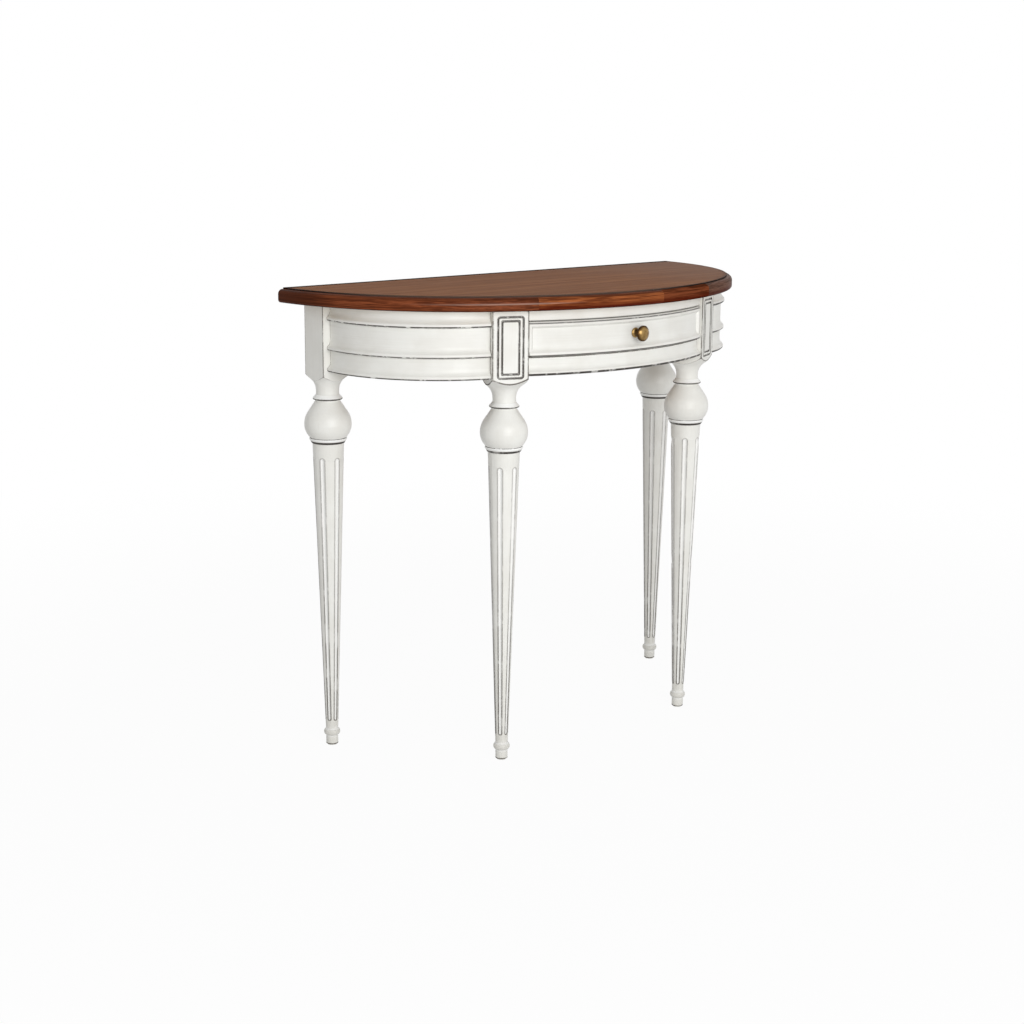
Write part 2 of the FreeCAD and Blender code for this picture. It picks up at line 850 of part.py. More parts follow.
def guide():
    """Right guide on the runner, beside the drawer side, behind the front post."""
    inner = drawer_half + guide_gap
    front = post_corner.y + drawer_post_gap
    return box(inner, min(inner + guide_width, runner_outer), front, back_rail_front,
               runner_top, runner_top + guide_height)


kicker_low = side_high + kicker_gap
kicker_inner = drawer_half - kicker_width


def kicker():
    """Right kicker over the drawer side, which also holds the top."""
    board = box(kicker_inner, drawer_half, front_line, back_rail_front, kicker_low, underside)
    return within_front(board, rail_inner)


def drawer_stop():
    """Right stop on the runner, behind the drawer side."""
    return box(side_inner, drawer_half, drawer_rear + running_gap, back_rail_front,
               runner_top, runner_top + stop_height)


# Blocks under the top, on the right

back_block_x = rail_end_x - corner_block_side - back_block_gap - block_length / 2


def side_block():
    """Block fitted to the inside of the apron's curve."""
    inner = side_radius - apron_thickness
    block = box(-block_length / 2, block_length / 2, -inner - overrun, -inner + block_depth,
                kicker_low, underside)
    block.rotate(origin, z_axis, side_block_angle)
    block.translate(side_centre)
    return block.common(cylinder(side_centre, inner, 0, table_height))


def back_block():
    """Block on the front of the back rail."""
    return box(back_block_x - block_length / 2, back_block_x + block_length / 2,
               back_rail_front - block_depth, back_rail_front, kicker_low, underside)


def corner_block():
    """Glue block between the back rail and the back post."""
    return box(rail_end_x - corner_block_side, rail_end_x, back_rail_front - corner_block_side,
               back_rail_front, underside - corner_block_height, underside)


def top_screws(clearance):
    """Screws up through the right kicker and blocks into the top."""
    kicker_x = (kicker_inner + drawer_half) / 2
    rear = back_rail_front - block_depth / 2
    front = post_corner.y
    inner = side_radius - apron_thickness
    side = side_centre + ray(side_block_angle) * (inner - block_depth / 2)
    places = ((kicker_x, rear), (kicker_x, front), (side.x, side.y), (back_block_x, rear))
    length = underside - kicker_low + top_screw_bite
    return [wood_screw(Vector(x, y, kicker_low), z_axis, length, clearance) for x, y in places]


# Assembly

def both(shapes):
    """A list of right-hand shapes with their mirror images."""
    return list(shapes) + [mirrored(s) for s in shapes]


nodes = {}


def add_pair(name, shape):
    """A right-hand piece and its mirror image as two nodes."""
    nodes[name + "_right"] = shape
    nodes[name + "_left"] = mirrored(shape)


apron_pairs = apron_dowels()
back_pairs = back_rail_dowels()
front_pairs = front_rail_dowels()
front_holes = [hole for dowel, hole in apron_pairs + front_pairs]
back_holes = [hole for dowel, hole in apron_pairs + back_pairs]
screw_holes = top_screws(glue_gap)

nodes["top_panel"] = top_panel().cut(both(screw_holes))
nodes["top_back_lipping"] = top_lipping()
for number, (first, last) in enumerate(zip(edge_seam_angles, edge_seam_angles[1:]), 1):
    nodes["top_edge_%d" % number] = edge_length(first, last)

front_cuts = front_holes + panel_grooves()
right_facing = front_post_angle + right_flute_angle
nodes["leg_front_right"] = leg(front_post_block(0), front_leg, right_facing, front_cuts)
nodes["leg_front_left"] = mirrored(leg(front_post_block(0), front_leg, front_post_angle, front_cuts))
add_pair("leg_back", leg(back_post_block(), back_leg, 90, back_holes))
glides = []
for foot in (front_leg, back_leg):
    disc = glide()
    disc.translate(foot)
    glides.append(disc)
nodes["foot_glides"] = Part.makeCompound(both(glides))

add_pair("side_apron", right_apron_solid().cut([hole for dowel, hole in apron_pairs]))
rear_mortise, front_mortise = runner_tenons(glue_gap)
rail_holes = [hole for dowel, hole in back_pairs] + [rear_mortise]
nodes["back_rail"] = back_rail_solid().cut(both(rail_holes))
nodes["front_top_rail"] = top_rail_solid().cut(both([front_pairs[0][1]]))
nodes["front_bottom_rail"] = bottom_rail_solid().cut(both([front_pairs[1][1], front_mortise]))
nodes["apron_dowels"] = Part.makeCompound(both([dowel for dowel, hole in apron_pairs]))
nodes["back_rail_dowels"] = Part.makeCompound(both([dowel for dowel, hole in back_pairs]))
nodes["front_rail_dowels"] = Part.makeCompound(both([dowel for dowel, hole in front_pairs]))

nodes["drawer_front"] = drawer_front_solid()
add_pair("drawer_side", drawer_side_solid())
bottom_holes = bottom_screws(glue_gap)
nodes["drawer_back"] = drawer_back_solid().cut(bottom_holes)
nodes["drawer_bottom"] = drawer_bottom_solid().cut(bottom_holes)
nodes["drawer_bottom_screws"] = Part.makeCompound(bottom_screws(0))
nodes["drawer_knob"] = knob()
nodes["knob_screw"] = knob_screw()

add_pair("drawer_runner", runner())
add_pair("drawer_guide", guide())
add_pair("drawer_kicker", kicker().cut(screw_holes))
nodes["drawer_stops"] = Part.makeCompound(both([drawer_stop()]))

add_pair("top_block_side", side_block().cut(screw_holes))
add_pair("top_block_back", back_block().cut(screw_holes))
add_pair("corner_block", corner_block())
nodes["top_screws"] = Part.makeCompound(both(top_screws(0)))

os.makedirs("parts", exist_ok=True)
for name, shape in nodes.items():
    shape.exportStep("parts/%s.step" % name)
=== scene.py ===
import math

import bpy
from mathutils import Matrix, Vector

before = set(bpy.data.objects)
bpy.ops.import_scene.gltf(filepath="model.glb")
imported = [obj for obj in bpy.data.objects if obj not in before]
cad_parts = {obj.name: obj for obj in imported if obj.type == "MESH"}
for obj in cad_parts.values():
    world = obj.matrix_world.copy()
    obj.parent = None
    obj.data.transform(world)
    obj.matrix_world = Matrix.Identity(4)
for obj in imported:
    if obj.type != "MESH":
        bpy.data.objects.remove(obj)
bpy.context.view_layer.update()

# The table's own places in the frame, millimetres. A pair is where a change of the looks starts and ends.
SIDE_CENTRE = (205.0, 98.0)
FRONT_LEG = (213.85, -86.0)
FRONT_POST_ANGLE = 25.0
FRONT_POST_DEPTH = 70.0
FRONT_POST_WIDTH = 60.0
PANEL_HALF_WIDTH = 21.75
SHOULDER_LEVEL = 637.0
SHOULDER_ANGLE = 37.0
FOOT_TOP = (44.0, 54.0)
LOWER_LEG = (90.0, 420.0)
FLUTE_TOP = (500.0, 510.0)
LEG_TO_POST = (500.0, 630.0)
# Ring and collar levels; on the legs these bands get painted light, as do the flutes
RING_LEVELS = (529.0, 534.5)
COLLAR_LEVELS = (599.6, 605.0)
BACK_LINE = 195.0
BOW_RADIUS = 420.0
# Reach of the top's painted sheen towards its right end
TOP_SHEEN_REACH = (60.0, 420.0)
# Where the quirk's painted shade grows towards the ends of the bow
QUIRK_LEFT = (-445.0, -390.0)
QUIRK_RIGHT = (-20.0, 140.0)
# Where the edging gets painted shade: underside, lower half, crown and ends of the bow
EDGE_UNDERSIDE = (757.2, 758.8)
EDGE_LOWER = (759.0, 769.0)
EDGE_CROWN = (770.0, 777.0)
EDGE_END = (425.0, 452.0)
# Where the edging gets a painted highlight along its roll
HIGHLIGHT_LEVELS = ((766.2, 767.6), (768.2, 770.0))
HIGHLIGHT_REACH = ((-390.0, -260.0), (-215.0, -110.0))
KNOB_LEVEL = 709.0
KNOB_RIM_RADIUS = (8.5, 12.4)
KNOB_HEAD_BACK = (-182.5, -181.0)
KNOB_NECK = ((-186.0, -182.0), (-171.5, -169.5))

# Levels of the dark lines under the noses, rubbed-through paint together with painted shadow: lowest,
# highest, strength
LEG_LINES = ((524.8, 528.4, 1.0), (596.8, 599.0, 1.0))
SIDE_LINES = ((729.0, 731.4, 1.0), (681.0, 683.2, 0.9), (645.6, 648.4, 1.0))
RAIL_LINES = ((648.8, 653.6, 1.0),)
DRAWER_LINES = ((680.2, 682.8, 0.9),)

# Noise per millimetre, all round or along x, y and z
BRUSH_UPRIGHT = (0.55, 0.55, 0.012)
BRUSH_LEVEL = (0.012, 0.012, 0.55)
PAINT_MOTTLE = 0.02
PAINT_SPECKS = 0.35
WEAR_BREAKS = 0.022
LEG_PATCHES = 0.09
APRON_PATCHES = (0.05, 0.05, 0.02)
LINE_WAVES = (0.16, 0.16, 0.02)
TOP_RINGS = (0.0022, 0.03, 0.03)
TOP_FIBRES = (0.01, 0.9, 0.9)
TOP_PORES = (0.035, 2.4, 2.4)
TOP_CLOUDS = (0.004, 0.012, 0.012)
TOP_STREAKS = (0.0022, 0.075, 0.075)
KNOB_CLOUDS = 0.16
KNOB_GRAIN = 1.2
SCREW_CLOUDS = 0.6
GLIDE_CLOUDS = 0.5
# Of the edging: along the bow, across it and upwards. Of bare wood: across the grain and along it
EDGE_RINGS = (0.0035, 0.03, 0.16)
EDGE_FIBRES = (0.012, 0.4, 0.9)
EDGE_SHIFT = 130.0
BARE_RINGS = (0.05, 0.004)
BARE_FIBRES = (1.1, 0.03)

# How far the looks feel for edges and corners, millimetres
WEAR_REACH = 2.2
DIRT_REACH = 9.0
WOOD_REACH = 12.0
QUIRK_REACH = 5.0
EDGE_ROUNDING = 0.7
BUMP_STRENGTH = 0.6

# Colours, linear
PAINT_LIGHT = (0.845, 0.84, 0.80)
PAINT_DEEP = (0.80, 0.79, 0.745)
PAINT_SHADE = (0.72, 0.705, 0.65)
# Painted light on the legs' flutes, ring and collar
PAINT_LIT = (0.93, 0.93, 0.915)
GLAZE = (0.50, 0.46, 0.39)
RUBBED = (0.10, 0.085, 0.07)
# Dark of rubbed-through paint, also used as painted shadow in the lines under the noses
BARED_AND_SHADOW = (0.026, 0.019, 0.015)
BARE_DARK = (0.42, 0.28, 0.155)
BARE_LIGHT = (0.60, 0.44, 0.27)
BARE_EDGE = (0.7, 0.55, 0.36)
BARE_CORNER = (0.25, 0.15, 0.08)
TOP_DARK = (0.16, 0.052, 0.016)
TOP_LIGHT = (0.285, 0.116, 0.043)
TOP_CLOUD = (0.21, 0.088, 0.036)
TOP_PORE = (0.05, 0.018, 0.008)
# Painted sheen and painted shade on the top
TOP_SHEEN = (0.235, 0.15, 0.115)
TOP_RIM_SHADE = (0.05, 0.03, 0.026)
# Painted sheen on the panel's step and painted shade in the quirk
QUIRK_SHEEN = (0.11, 0.075, 0.06)
QUIRK_SHADE = (0.012, 0.009, 0.009)
# Painted highlight on the edging
EDGE_HIGHLIGHT = (0.42, 0.29, 0.24)
# Painted shade on the edging's lower half and underside
EDGE_SHADE = (0.07, 0.004, 0.001)
EDGE_UNDER_SHADE = (0.04, 0.005, 0.002)
BRASS_LIGHT = (0.36, 0.235, 0.09)
BRASS_DARK = (0.21, 0.125, 0.045)
# Painted shade on the knob's rim and neck
BRASS_SHADE = (0.035, 0.014, 0.004)
BRASS_CORNER = (0.05, 0.026, 0.01)
STEEL_LIGHT = (0.62, 0.62, 0.6)
STEEL_DARK = (0.45, 0.44, 0.42)
STEEL_CORNER = (0.12, 0.11, 0.1)
NYLON_LIGHT = (0.72, 0.71, 0.67)
NYLON_DARK = (0.6, 0.58, 0.53)
NYLON_EDGE = (0.3, 0.28, 0.25)
LIPPING_TONES = ((0.04, 0.014, 0.006), (0.07, 0.022, 0.008))
# Each length of edging: dark and light tone, specular level, painted shade on its crown and on its lower
# half
EDGE_TONES = (((0.095, 0.022, 0.008), (0.24, 0.064, 0.024), 0.03, 0.44, 0.0),
              ((0.135, 0.031, 0.010), (0.38, 0.112, 0.035), 0.02, 0.44, 0.82),
              ((0.082, 0.021, 0.008), (0.215, 0.058, 0.023), 0.0, 0.0, 0.68),
              ((0.085, 0.039, 0.025), (0.170, 0.082, 0.055), 0.004, 0.06, 0.62),
              ((0.065, 0.022, 0.010), (0.14, 0.050, 0.026), 0.0, 0.2, 0.4))

# The studio, metres
SKY_LEVEL = 0.53
FLOOR_ALBEDO = 0.75
FLOOR_GLOW = 0.95
FLOOR_FADE = (0.7, 2.4)
FLOOR_REACH = 30.0
LIGHT_TARGET = (0.0, 0.0, 0.45)

# Sockets of Blender's Mix node for colours
MIX_SHARE, MIX_A, MIX_B, MIX_RESULT = 0, 6, 7, 2


class Tree:
    """The nodes of a material or a world, with short calls for those that are used here."""

    def __init__(self, owner):
        owner.use_nodes = True
        self.owner = owner
        self.nodes = owner.node_tree.nodes

    def new(self, kind, **settings):
        node = self.nodes.new("ShaderNode" + kind)
        for key, value in settings.items():
            setattr(node, key, value)
        return node

    def feed(self, socket, value):
        if isinstance(value, bpy.types.NodeSocket):
            self.owner.node_tree.links.new(value, socket)
        elif socket.type == "RGBA":
            socket.default_value = (*value, 1.0)
        else:
            socket.default_value = value

    def filled(self, node, *values):
        for socket, value in zip(node.inputs, values):
            self.feed(socket, value)
        return node

    def math(self, operation, *values):
        return self.filled(self.new("Math", operation=operation), *values).outputs[0]

    def times(self, product, *factors):
        for factor in factors:
            product = self.math("MULTIPLY", product, factor)
        return product

    def most(self, largest, *others):
        for other in others:
            largest = self.math("MAXIMUM", largest, other)
        return largest

    def vector(self, operation, *values):
        node = self.filled(self.new("VectorMath", operation=operation), *values)
        return node.outputs["Value" if operation in ("DOT_PRODUCT", "LENGTH") else "Vector"]

    def xyz(self, vector):
        return self.filled(self.new("SeparateXYZ"), vector).outputs

    def ease(self, value, low, high, to_low=0.0, to_high=1.0):
        node = self.new("MapRange", interpolation_type="SMOOTHSTEP")
        return self.filled(node, value, low, high, to_low, to_high).outputs["Result"]

    def within(self, value, low, high, soft=0.4):
        return self.times(self.ease(value, low - soft, low + soft),
                          self.ease(value, high - soft, high + soft, 1.0, 0.0))

    def mix(self, share, a, b):
        node = self.new("Mix", data_type="RGBA")
        self.feed(node.inputs[MIX_SHARE], share)
        self.feed(node.inputs[MIX_A], a)
        self.feed(node.inputs[MIX_B], b)
        return node.outputs[MIX_RESULT]

    def noise(self, place, stretch, detail=3.0, rough=0.55, warp=0.0):
        if isinstance(stretch, float):
            stretch = (stretch, stretch, stretch)
        node = self.new("TexNoise")
        self.feed(node.inputs["Vector"], self.vector("MULTIPLY", place, stretch))
        self.feed(node.inputs["Scale"], 1.0)
        self.feed(node.inputs["Detail"], detail)
        self.feed(node.inputs["Roughness"], rough)
        self.feed(node.inputs["Distortion"], warp)
        return node.outputs["Fac"]

    def bands(self, ring, count, low, high):
        return self.ease(self.math("SINE", self.times(ring, count)), low, high)


class Coat(Tree):
    """The material of a piece. Its places and lengths are in millimetres."""

    def __init__(self, name):
        super().__init__(bpy.data.materials.new(name))
        self.mm = self.vector("MULTIPLY", self.new("TexCoord").outputs["Object"], (1000, 1000, 1000))
        self.normal = self.new("NewGeometry").outputs["Normal"]

    def rounded(self, radius, samples):
        return self.filled(self.new("Bevel", samples=samples), radius / 1000).outputs[0]

    def arris(self, radius):
        """1 along edges, 0 on open faces: how far a rounded normal turns from the face's own."""
        return self.math("SUBTRACT", 1.0, self.vector("DOT_PRODUCT", self.rounded(radius, 8), self.normal))

    def recess(self, distance, inside=False):
        """0 in the open, more in corners and grooves. Inside, the same for outer edges."""
        node = self.new("AmbientOcclusion", samples=8, only_local=True, inside=inside)
        self.feed(node.inputs["Distance"], distance / 1000)
        return self.math("SUBTRACT", 1.0, node.outputs["AO"])

    def finish(self, colour, roughness, relief, depth, metallic=0.0, specular=0.5):
        bump = self.new("Bump")
        self.feed(bump.inputs["Strength"], BUMP_STRENGTH)
        self.feed(bump.inputs["Distance"], depth / 1000)
        self.feed(bump.inputs["Height"], relief)
        self.feed(bump.inputs["Normal"], self.rounded(EDGE_ROUNDING, 6))
        shader = self.nodes["Principled BSDF"].inputs
        self.feed(shader["Base Color"], colour)
        self.feed(shader["Roughness"], roughness)
        self.feed(shader["Metallic"], metallic)
        self.feed(shader["Specular IOR Level"], specular)
        self.feed(shader["Normal"], bump.outputs["Normal"])
        return self.owner


def toned(colour, factor):
    return [channel * factor for channel in colour]


def bare_wood(t, grain):
    """Colour and fibres of plain pale wood. The grain is 1 for each axis that it lies along."""
    ring = t.noise(t.mm, [BARE_RINGS[g] for g in grain], 4, 0.6, 0.5)
    fibre = t.noise(t.mm, [BARE_FIBRES[g] for g in grain], 3)
    colour = t.mix(t.bands(ring, 60.0, -1.0, 1.0), BARE_LIGHT, BARE_DARK)
    colour = t.mix(t.ease(fibre, 0.4, 0.7, 0.0, 0.4), colour, BARE_DARK)
    return colour, fibre


def front_post_outline(t):
    """1 along the outer corners of the front posts and along the arch at their foot."""
    front, flank = -FRONT_POST_DEPTH / 2, FRONT_POST_WIDTH / 2
    right = t.vector("MULTIPLY", t.vector("ABSOLUTE", t.mm), (1, -1, 0))
    turned = t.new("VectorRotate", rotation_type="Z_AXIS")
    t.feed(turned.inputs["Vector"], t.vector("SUBTRACT", right, (*FRONT_LEG, 0)))
    t.feed(turned.inputs["Angle"], -math.radians(FRONT_POST_ANGLE))
    outward, inward, _ = t.xyz(turned.outputs[0])
    sideways = t.math("ABSOLUTE", outward)
    reach = t.math("ADD", t.vector("LENGTH", turned.outputs[0]), front)
    arch = t.math("MULTIPLY_ADD", reach, math.tan(math.radians(SHOULDER_ANGLE)), SHOULDER_LEVEL)
    above = t.math("SUBTRACT", t.xyz(t.mm)[2], arch)
    upright = t.ease(t.math("ABSOLUTE", t.xyz(t.normal)[2]), 0.3, 0.5, 1.0, 0.0)
    seen = t.most(t.ease(inward, front + 0.5, front + 1.5, 1.0, 0.0),
                  t.ease(outward, flank - 1.0, flank - 0.2))
    foot = t.times(t.ease(above, 1.4, 2.8, 1.0, 0.0), upright, seen)
    corner = t.times(t.ease(sideways, PANEL_HALF_WIDTH + 1, PANEL_HALF_WIDTH + 3),
                     t.ease(t.recess(5.0, inside=True), 0.24, 0.4))
    return t.times(t.most(foot, corner), t.ease(above, -2.0, 0.0))


def paint(name, leg=False, lines=(), bare=None, edge=(1.0, 1.0), glaze=1.0, outline=None, gaps=0.0):
    """Off-white paint, rubbed through along the edges, with dark lines of rubbed paint and painted shadow
    along the given levels.
    On the turned legs the flutes, ring and collar get painted light.

    The edges have one strength on the turned legs and another on the posts and aprons. The glaze is the dirt
    in the corners, the gaps are the breaks in the lines, and sides that face as bare says have no paint."""
    t = Coat(name)
    z = t.xyz(t.mm)[2]
    streak = t.noise(t.mm, BRUSH_UPRIGHT if leg else BRUSH_LEVEL, 4, 0.6)
    mottle = t.noise(t.mm, PAINT_MOTTLE, 3)
    speck = t.noise(t.mm, PAINT_SPECKS, 2)
    patch = t.noise(t.mm, LEG_PATCHES if leg else APRON_PATCHES, 4, 0.75)
    colour = t.mix(t.ease(mottle, 0.35, 0.65), PAINT_LIGHT, PAINT_DEEP)
    colour = t.mix(t.ease(streak, 0.48, 0.78, 0.0, 0.35), colour, PAINT_SHADE)
    dirt = t.times(t.ease(t.recess(DIRT_REACH), 0.3, 0.9), t.ease(mottle, 0.25, 0.7, 0.1, 0.4), glaze)
    colour = t.mix(dirt, colour, GLAZE)

    broken = t.times(t.ease(t.noise(t.mm, WEAR_BREAKS, 4, 0.7), 0.36, 0.52, 0.2, 1.0),
                     t.ease(speck, 0.3, 0.48, 0.5, 1.0))
    keen = t.ease(z, *LEG_TO_POST, 0.07, 0.15)
    force = t.math("ADD", t.ease(z, *LEG_TO_POST, *edge), t.ease(z, *LOWER_LEG, 0.45, 0.0))
    edges = t.times(t.ease(t.recess(WEAR_REACH, inside=True), keen, t.times(keen, 2.0)), force)
    if leg:
        ring = t.within(z, *RING_LEVELS)
        # Painted light: the flutes, the ring and the collar are lightened against their shading
        flute = t.times(t.ease(t.recess(DIRT_REACH), 0.04, 0.16), t.ease(z, *FLUTE_TOP, 1.0, 0.0))
        painted_light = t.most(ring, t.within(z, *COLLAR_LEVELS), flute)
        colour = t.mix(t.ease(z, *FOOT_TOP, 0.55, 0.0), colour, PAINT_SHADE)
        colour = t.mix(t.times(painted_light, 0.85), colour, PAINT_LIT)
        edges = t.times(edges, t.math("SUBTRACT", 1.0, ring))
    if outline is not None:
        edges = t.most(edges, outline(t))
    edges = t.times(edges, t.ease(broken, 0.1, 0.8, 0.5, 1.0))
    colour = t.mix(edges, colour, RUBBED)
    groove = t.times(t.ease(t.recess(WEAR_REACH), 0.26, 0.46), t.ease(patch, 0.39, 0.45, 0.3, 1.0))
    colour = t.mix(groove, colour, BARED_AND_SHADOW)

    wear_and_shadow = edges
    sight = t.ease(t.xyz(t.normal)[2], -0.97, -0.8)
    ragged = t.math("ADD", z, t.ease(t.noise(t.mm, LINE_WAVES, 3, 0.7), 0.3, 0.7, -gaps, gaps))
    unbroken = t.times(t.ease(broken, 0.1, 0.5, 0.6, 1.0), t.ease(patch, 0.4, 0.47, 1.0 - gaps, 1.0))
    # Dark lines under the noses: rubbed paint together with painted shadow
    for low, high, strength in lines:
        rise = t.ease(ragged, low - 0.3, low + 0.2)
        fall = t.ease(z, high - 0.3, high + 0.5, 1.0, 0.0)
        line = t.times(rise, fall, unbroken, sight, strength)
        colour = t.mix(line, colour, BARED_AND_SHADOW)
        wear_and_shadow = t.most(wear_and_shadow, line)
    if bare is not None:
        wooden = t.ease(t.vector("DOT_PRODUCT", t.normal, bare(t)), 0.35, 0.6)
        colour = t.mix(wooden, colour, bare_wood(t, (1, 1, 0))[0])
    rough = t.ease(t.math("ADD", streak, wear_and_shadow), 0.3, 1.2, 0.36, 0.62)
    relief = t.math("SUBTRACT", t.math("ADD", streak, t.times(speck, 0.4)), wear_and_shadow)
    return t.finish(colour, rough, relief, 0.16)


def towards_back(t):
    return (0.0, 1.0, 0.0)


def towards_front(t):
    return (0.0, -1.0, 0.0)


def towards_side_centre(sign):
    """Direction from each point to the centre of a side apron's curve."""
    def direction(t):
        x, y = SIDE_CENTRE
        away = t.vector("SUBTRACT", (sign * x, y, 0.0), t.vector("MULTIPLY", t.mm, (1, 1, 0)))
        return t.vector("NORMALIZE", away)
    return direction


def quirk_shade_depth(t):
    """How dark the painted shade in the quirk between panel and edging is: more towards the ends of the bow.
    """
    x = t.xyz(t.mm)[0]
    return t.most(t.ease(x, *QUIRK_LEFT, 1.0, 0.25), t.ease(x, *QUIRK_RIGHT, 0.25, 1.0))


def top_wood(name):
    """Stained panel with its grain along the table, with a painted sheen towards its right end, painted
    shade round its rim and in its quirk, and bare below.
    """
    t = Coat(name)
    ring = t.noise(t.mm, TOP_RINGS, 5, 0.6, 0.6)
    fibre = t.noise(t.mm, TOP_FIBRES, 4, 0.6)
    pore = t.ease(t.noise(t.mm, TOP_PORES, 2), 0.6, 0.72)
    cloud = t.noise(t.mm, TOP_CLOUDS, 2)
    streak = t.noise(t.mm, TOP_STREAKS, 3, 0.65)
    colour = t.mix(t.times(t.bands(ring, 70.0, -0.6, 1.0), 0.4), TOP_LIGHT, TOP_DARK)
    colour = t.mix(t.ease(fibre, 0.35, 0.75, 0.0, 0.55), colour, TOP_DARK)
    colour = t.mix(t.ease(cloud, 0.35, 0.7, 0.0, 0.3), colour, TOP_CLOUD)
    colour = t.mix(t.ease(streak, 0.42, 0.7, 0.0, 0.5), colour, TOP_DARK)
    colour = t.mix(t.ease(streak, 0.34, 0.5, 0.45, 0.0), colour, toned(TOP_LIGHT, 1.3))
    colour = t.mix(t.times(pore, 0.5), colour, TOP_PORE)
    # Painted sheen towards the right end
    colour = t.mix(t.ease(t.xyz(t.mm)[0], *TOP_SHEEN_REACH, 0.0, 0.45), colour, TOP_SHEEN)
    # Painted shade round the rim
    colour = t.mix(t.ease(t.recess(WOOD_REACH, inside=True), 0.05, 0.5, 0.0, 0.6), colour, TOP_RIM_SHADE)
    upward = t.xyz(t.normal)[2]
    # On the panel's step: painted sheen, turning to painted shade towards the ends
    rim = t.mix(quirk_shade_depth(t), QUIRK_SHEEN, QUIRK_SHADE)
    colour = t.mix(t.ease(upward, 0.3, 0.8, 0.95, 0.0), colour, rim)
    below = t.ease(upward, -0.6, -0.4, 1.0, 0.0)
    colour = t.mix(below, colour, bare_wood(t, (1, 0, 0))[0])
    rough = t.math("ADD", t.ease(fibre, 0.3, 0.7, 0.5, 0.6), t.times(below, 0.2))
    return t.finish(colour, rough, t.math("SUBTRACT", fibre, pore), 0.05, specular=0.02)


def along_bow(t, shift):
    """Places counted along the bow, out from its middle and upwards, moved on by the shift."""
    x, y, z = t.xyz(t.mm)
    along = t.times(t.math("ARCTAN2", x, t.math("SUBTRACT", BACK_LINE, y)), BOW_RADIUS)
    plan = t.vector("MULTIPLY", t.vector("SUBTRACT", t.mm, (0, BACK_LINE, 0)), (1, 1, 0))
    place = t.filled(t.new("CombineXYZ"), t.math("ADD", along, shift), t.vector("LENGTH", plan),
                     t.math("ADD", z, shift))
    return place.outputs[0]


def edge_wood(name, shift, dark, light, specular=0.0, crown=0.5, lower=0.0):
    """Stained edging whose grain follows the bow, or the straight back when it has no shift, with a painted
    highlight and painted shade on its lower half, crown, ends, underside and quirk.
    """
    t = Coat(name)
    x, _, z = t.xyz(t.mm)
    place = t.mm if shift is None else along_bow(t, shift)
    ring = t.noise(place, EDGE_RINGS, 4, 0.6, 0.15)
    fibre = t.noise(place, EDGE_FIBRES, 4, 0.6)
    colour = t.mix(t.times(t.bands(ring, 32.0, -0.5, 0.9), 0.9), light, dark)
    colour = t.mix(t.ease(fibre, 0.4, 0.7, 0.0, 0.65), colour, toned(dark, 0.6))
    # Painted highlight along the roll of the first lengths
    rise, fall = HIGHLIGHT_LEVELS
    start, stop = HIGHLIGHT_REACH
    painted_highlight = t.times(t.ease(z, *rise), t.ease(z, *fall, 1.0, 0.0),
                    t.ease(x, *start, 0.0, 0.55), t.ease(x, *stop, 1.0, 0.0))
    colour = t.mix(painted_highlight, colour, EDGE_HIGHLIGHT)
    # Painted shade: darker lower half, crown, ends of the bow and underside
    colour = t.mix(t.ease(z, *EDGE_LOWER, lower, 0.0), colour, EDGE_SHADE)
    end = t.ease(t.math("ABSOLUTE", x), *EDGE_END, 0.0, 0.75)
    colour = t.mix(t.most(t.ease(z, *EDGE_CROWN, 0.0, crown), end), colour, toned(dark, 0.4))
    colour = t.mix(t.ease(z, *EDGE_UNDERSIDE, 0.8, 0.0), colour, EDGE_UNDER_SHADE)
    # Painted shade in the quirk
    quirk = t.times(t.ease(t.recess(QUIRK_REACH), 0.06, 0.4, 0.0, 0.9), quirk_shade_depth(t))
    colour = t.mix(quirk, colour, QUIRK_SHADE)
    return t.finish(colour, t.ease(fibre, 0.3, 0.7, 0.26, 0.38), fibre, 0.04, specular=specular)


def plain_wood(name, grain):
    """Bare wood with paler edges and darker corners."""
    t = Coat(name)
    colour, fibre = bare_wood(t, grain)
    colour = t.mix(t.ease(t.arris(0.8), 0.03, 0.2, 0.0, 0.35), colour, BARE_EDGE)
    colour = t.mix(t.times(t.ease(t.recess(WOOD_REACH), 0.1, 0.7), 0.3), colour, BARE_CORNER)
    return t.finish(colour, t.ease(fibre, 0.3, 0.7, 0.55, 0.75), fibre, 0.12, specular=0.3)


def brass(name):
    """Aged brass with painted shade on the neck and round the head's rim, brighter on the crown and the
    base.
    """
    t = Coat(name)
    cloud = t.noise(t.mm, KNOB_CLOUDS, 4, 0.6)
    colour = t.mix(t.ease(cloud, 0.35, 0.7), BRASS_LIGHT, BRASS_DARK)
    y = t.xyz(t.mm)[1]
    # Painted shade round the head's rim and on the neck
    axis = t.vector("MULTIPLY", t.vector("SUBTRACT", t.mm, (0, 0, KNOB_LEVEL)), (1, 0, 1))
    rim = t.times(t.ease(t.vector("LENGTH", axis), *KNOB_RIM_RADIUS), t.ease(y, *KNOB_HEAD_BACK, 0.9, 0.0))
    start, stop = KNOB_NECK
    neck = t.times(t.ease(y, *start), t.ease(y, *stop, 0.85, 0.0))
    colour = t.mix(t.most(rim, neck), colour, BRASS_SHADE)
    colour = t.mix(t.ease(t.recess(6.0), 0.15, 0.7, 0.0, 0.6), colour, BRASS_CORNER)
    rough = t.ease(cloud, 0.3, 0.7, 0.24, 0.4)
    return t.finish(colour, rough, t.noise(t.mm, KNOB_GRAIN, 2), 0.03, metallic=1.0)


